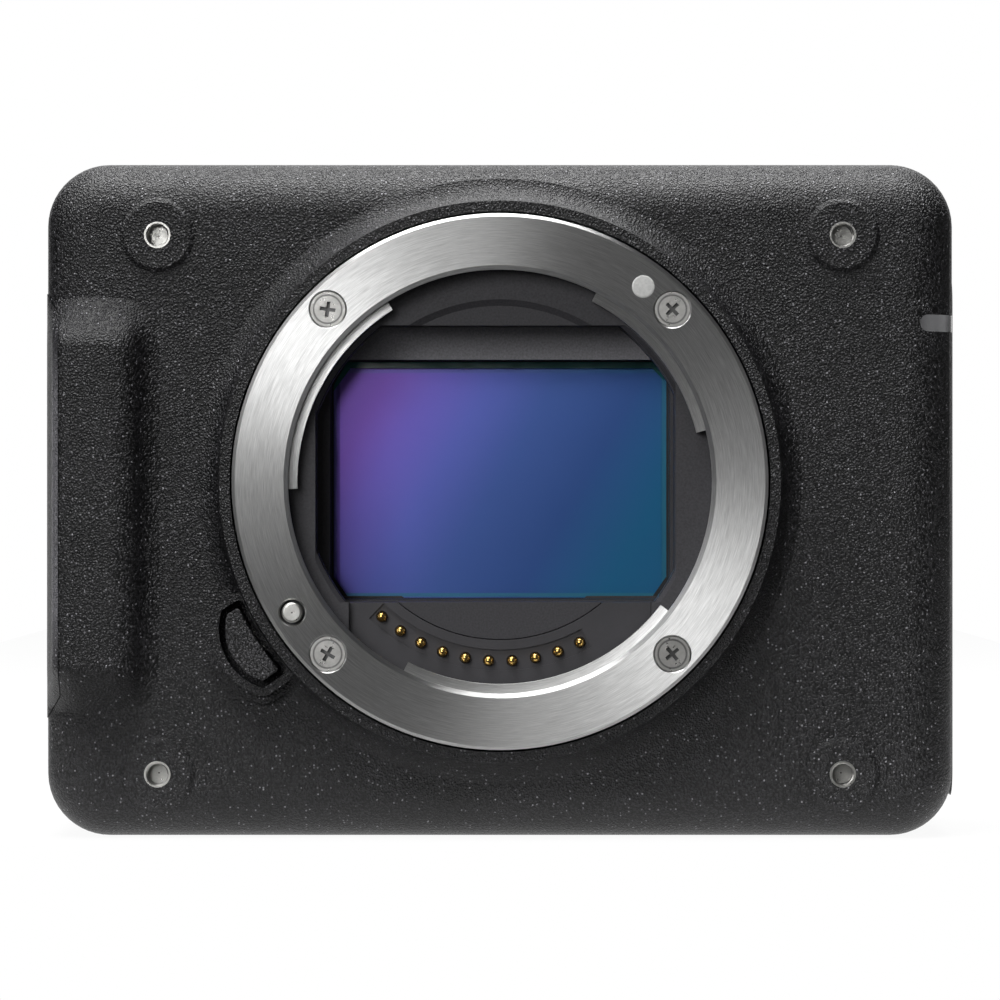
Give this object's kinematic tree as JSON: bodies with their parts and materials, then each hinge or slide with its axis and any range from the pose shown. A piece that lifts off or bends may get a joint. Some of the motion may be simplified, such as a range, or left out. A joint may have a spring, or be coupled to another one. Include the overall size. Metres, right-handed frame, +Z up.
{
  "type": "compact camera body",
  "caption": "Box-shaped interchangeable-lens camera body with a bayonet lens mount, bare sensor, small grip, side doors and threaded corner holes.",
  "frame": {"origin": "middle of the footprint, on the surface that the body stands on", "axes": "-Y is the way the lens looks, +X is to the right seen from the front, +Z is up"},
  "size_m": [0.1, 0.0432, 0.074],
  "materials": {
    "cover_paint": "coarse black grained paint",
    "door_paint": "black grained paint over plastic",
    "mount_steel": "circular brushed",
    "screw_steel": "bright plated",
    "screw_black": "black oxide",
    "spring_steel": "plain",
    "baffle_plastic": "matt black, light absorbing",
    "button_plastic": "fine matt black",
    "contact_gold": "gold plated",
    "chassis_metal": "cast",
    "shutter_black": "thin matt black coat",
    "motor_steel": "plain",
    "frame_plastic": "matt black",
    "filter_glass": "coated, clear",
    "sensor_ceramic": "iridescent silicon in a ceramic package",
    "board_green": "circuit board",
    "spreader_metal": "plain",
    "connector_steel": "plain",
    "connector_plastic": "black",
    "key_plastic": "matt black",
    "window_plastic": "smoked, translucent"
  },
  "bodies": {
    "camera_body": {"bayonet_spring": "spring_steel", "board_screws": "screw_steel", "card_slot": "connector_steel", "chassis": "chassis_metal", "contact_block": "baffle_plastic", "cover_screws": "screw_black", "dc_socket": "connector_plastic", "door_hinge_pins": "screw_steel", "front_cover": "cover_paint", "hdmi_socket": "connector_steel", "heat_spreader": "spreader_metal", "image_sensor": "sensor_ceramic", "io_board": "board_green", "key_board": "board_green", "lens_mount_ring": "mount_steel", "light_baffle": "baffle_plastic", "lock_spring": "spring_steel", "main_board": "board_green", "mount_screws": "screw_steel", "rear_cover": "cover_paint", "sensor_board": "board_green", "sensor_frame": "frame_plastic", "sensor_glass": "filter_glass", "shutter_base": "shutter_black", "shutter_cover": "shutter_black", "shutter_motor": "motor_steel", "shutter_partition": "shutter_black", "status_window": "window_plastic", "thread_inserts": "screw_steel", "tripod_socket": "screw_steel", "usb_socket": "connector_steel"},
    "card_door": {"card_door": "door_paint"},
    "terminal_door": {"terminal_door": "door_paint"},
    "lens_release": {"lens_release_button": "button_plastic", "lock_plate": "spring_steel", "lock_pin": "screw_steel"},
    "contact_pin_01": {"contact_pin_01": "contact_gold"},
    "contact_pin_02": {"contact_pin_02": "contact_gold"},
    "contact_pin_03": {"contact_pin_03": "contact_gold"},
    "contact_pin_04": {"contact_pin_04": "contact_gold"},
    "contact_pin_05": {"contact_pin_05": "contact_gold"},
    "contact_pin_06": {"contact_pin_06": "contact_gold"},
    "contact_pin_07": {"contact_pin_07": "contact_gold"},
    "contact_pin_08": {"contact_pin_08": "contact_gold"},
    "contact_pin_09": {"contact_pin_09": "contact_gold"},
    "contact_pin_10": {"contact_pin_10": "contact_gold"},
    "key_menu": {"key_menu": "key_plastic"},
    "key_up": {"key_up": "key_plastic"},
    "key_down": {"key_down": "key_plastic"},
    "key_set": {"key_set": "key_plastic"},
    "first_curtain_main_arm": {"first_curtain_main_arm": "shutter_black"},
    "first_curtain_aux_arm": {"first_curtain_aux_arm": "shutter_black"},
    "first_curtain_blade_1": {"first_curtain_blade_1": "shutter_black"},
    "first_curtain_blade_2": {"first_curtain_blade_2": "shutter_black"},
    "first_curtain_blade_3": {"first_curtain_blade_3": "shutter_black"},
    "second_curtain_main_arm": {"second_curtain_main_arm": "shutter_black"},
    "second_curtain_aux_arm": {"second_curtain_aux_arm": "shutter_black"},
    "second_curtain_blade_1": {"second_curtain_blade_1": "shutter_black"},
    "second_curtain_blade_2": {"second_curtain_blade_2": "shutter_black"},
    "second_curtain_blade_3": {"second_curtain_blade_3": "shutter_black"}
  },
  "joints": [
    {"name": "card_door_hinge", "type": "hinge", "parent": "camera_body", "child": "card_door", "pos_m": [-0.04908, 0.00995, 0.03635], "axis": [0, 0, -1], "range_deg": [0, 90]},
    {"name": "terminal_door_hinge", "type": "hinge", "parent": "camera_body", "child": "terminal_door", "pos_m": [0.04908, 0.00995, 0.03305], "axis": [0, 0, 1], "range_deg": [0, 90]},
    {"name": "lens_release_press", "type": "slide", "parent": "camera_body", "child": "lens_release", "axis": [0, 1, 0], "range_m": [0, 0.0013], "stiffness_N_per_m": 400, "springref_m": -0.001, "deforming": ["lock_spring"]},
    {"name": "contact_pin_01_press", "type": "slide", "parent": "camera_body", "child": "contact_pin_01", "axis": [0, 1, 0], "range_m": [0, 0.0007], "stiffness_N_per_m": 200, "springref_m": -0.0005},
    {"name": "contact_pin_02_press", "type": "slide", "parent": "camera_body", "child": "contact_pin_02", "axis": [0, 1, 0], "range_m": [0, 0.0007], "stiffness_N_per_m": 200, "springref_m": -0.0005},
    {"name": "contact_pin_03_press", "type": "slide", "parent": "camera_body", "child": "contact_pin_03", "axis": [0, 1, 0], "range_m": [0, 0.0007], "stiffness_N_per_m": 200, "springref_m": -0.0005},
    {"name": "contact_pin_04_press", "type": "slide", "parent": "camera_body", "child": "contact_pin_04", "axis": [0, 1, 0], "range_m": [0, 0.0007], "stiffness_N_per_m": 200, "springref_m": -0.0005},
    {"name": "contact_pin_05_press", "type": "slide", "parent": "camera_body", "child": "contact_pin_05", "axis": [0, 1, 0], "range_m": [0, 0.0007], "stiffness_N_per_m": 200, "springref_m": -0.0005},
    {"name": "contact_pin_06_press", "type": "slide", "parent": "camera_body", "child": "contact_pin_06", "axis": [0, 1, 0], "range_m": [0, 0.0007], "stiffness_N_per_m": 200, "springref_m": -0.0005},
    {"name": "contact_pin_07_press", "type": "slide", "parent": "camera_body", "child": "contact_pin_07", "axis": [0, 1, 0], "range_m": [0, 0.0007], "stiffness_N_per_m": 200, "springref_m": -0.0005},
    {"name": "contact_pin_08_press", "type": "slide", "parent": "camera_body", "child": "contact_pin_08", "axis": [0, 1, 0], "range_m": [0, 0.0007], "stiffness_N_per_m": 200, "springref_m": -0.0005},
    {"name": "contact_pin_09_press", "type": "slide", "parent": "camera_body", "child": "contact_pin_09", "axis": [0, 1, 0], "range_m": [0, 0.0007], "stiffness_N_per_m": 200, "springref_m": -0.0005},
    {"name": "contact_pin_10_press", "type": "slide", "parent": "camera_body", "child": "contact_pin_10", "axis": [0, 1, 0], "range_m": [0, 0.0007], "stiffness_N_per_m": 200, "springref_m": -0.0005},
    {"name": "key_menu_press", "type": "slide", "parent": "camera_body", "child": "key_menu", "axis": [0, -1, 0], "range_m": [0, 0.00035], "stiffness_N_per_m": 500, "springref_m": -0.0004},
    {"name": "key_up_press", "type": "slide", "parent": "camera_body", "child": "key_up", "axis": [0, -1, 0], "range_m": [0, 0.00035], "stiffness_N_per_m": 500, "springref_m": -0.0004},
    {"name": "key_down_press", "type": "slide", "parent": "camera_body", "child": "key_down", "axis": [0, -1, 0], "range_m": [0, 0.00035], "stiffness_N_per_m": 500, "springref_m": -0.0004},
    {"name": "key_set_press", "type": "slide", "parent": "camera_body", "child": "key_set", "axis": [0, -1, 0], "range_m": [0, 0.00035], "stiffness_N_per_m": 500, "springref_m": -0.0004},
    {"name": "first_curtain_swing", "type": "hinge", "parent": "camera_body", "child": "first_curtain_main_arm", "pos_m": [0.038, -0.0066, 0.03056], "axis": [0, 1, 0], "range_deg": [0, 88.8], "stiffness_Nm_per_rad": 0.0001, "springref_deg": -114.59},
    {"name": "first_curtain_aux_swing", "type": "hinge", "parent": "camera_body", "child": "first_curtain_aux_arm", "pos_m": [0.038, -0.0066, 0.03556], "axis": [0, 1, 0], "range_deg": [0, 88.8]},
    {"name": "first_curtain_blade_1_turn", "type": "hinge", "parent": "first_curtain_main_arm", "child": "first_curtain_blade_1", "pos_m": [0.02371, -0.0066, 0.01656], "axis": [0, 1, 0], "range_deg": [-88.8, 0]},
    {"name": "first_curtain_blade_2_turn", "type": "hinge", "parent": "first_curtain_main_arm", "child": "first_curtain_blade_2", "pos_m": [0.02847, -0.0066, 0.02123], "axis": [0, 1, 0], "range_deg": [-88.8, 0]},
    {"name": "first_curtain_blade_3_turn", "type": "hinge", "parent": "first_curtain_main_arm", "child": "first_curtain_blade_3", "pos_m": [0.03324, -0.0066, 0.02589], "axis": [0, 1, 0], "range_deg": [-88.8, 0]},
    {"name": "second_curtain_swing", "type": "hinge", "parent": "camera_body", "child": "second_curtain_main_arm", "pos_m": [0.038, -0.0066, 0.04794], "axis": [0, -1, 0], "range_deg": [0, 88.8], "stiffness_Nm_per_rad": 0.0001, "springref_deg": -114.59},
    {"name": "second_curtain_aux_swing", "type": "hinge", "parent": "camera_body", "child": "second_curtain_aux_arm", "pos_m": [0.038, -0.0066, 0.04294], "axis": [0, -1, 0], "range_deg": [0, 88.8]},
    {"name": "second_curtain_blade_1_turn", "type": "hinge", "parent": "second_curtain_main_arm", "child": "second_curtain_blade_1", "pos_m": [0.02371, -0.0066, 0.06194], "axis": [0, -1, 0], "range_deg": [-88.8, 0]},
    {"name": "second_curtain_blade_2_turn", "type": "hinge", "parent": "second_curtain_main_arm", "child": "second_curtain_blade_2", "pos_m": [0.02847, -0.0066, 0.05727], "axis": [0, -1, 0], "range_deg": [-88.8, 0]},
    {"name": "second_curtain_blade_3_turn", "type": "hinge", "parent": "second_curtain_main_arm", "child": "second_curtain_blade_3", "pos_m": [0.03324, -0.0066, 0.05261], "axis": [0, -1, 0], "range_deg": [-88.8, 0]}
  ],
  "couplings": [
    {"joint": "first_curtain_aux_swing", "follows": "first_curtain_swing", "ratio": 1},
    {"joint": "first_curtain_blade_1_turn", "follows": "first_curtain_swing", "ratio": -1},
    {"joint": "first_curtain_blade_2_turn", "follows": "first_curtain_swing", "ratio": -1},
    {"joint": "first_curtain_blade_3_turn", "follows": "first_curtain_swing", "ratio": -1},
    {"joint": "second_curtain_aux_swing", "follows": "second_curtain_swing", "ratio": 1},
    {"joint": "second_curtain_blade_1_turn", "follows": "second_curtain_swing", "ratio": -1},
    {"joint": "second_curtain_blade_2_turn", "follows": "second_curtain_swing", "ratio": -1},
    {"joint": "second_curtain_blade_3_turn", "follows": "second_curtain_swing", "ratio": -1}
  ]
}
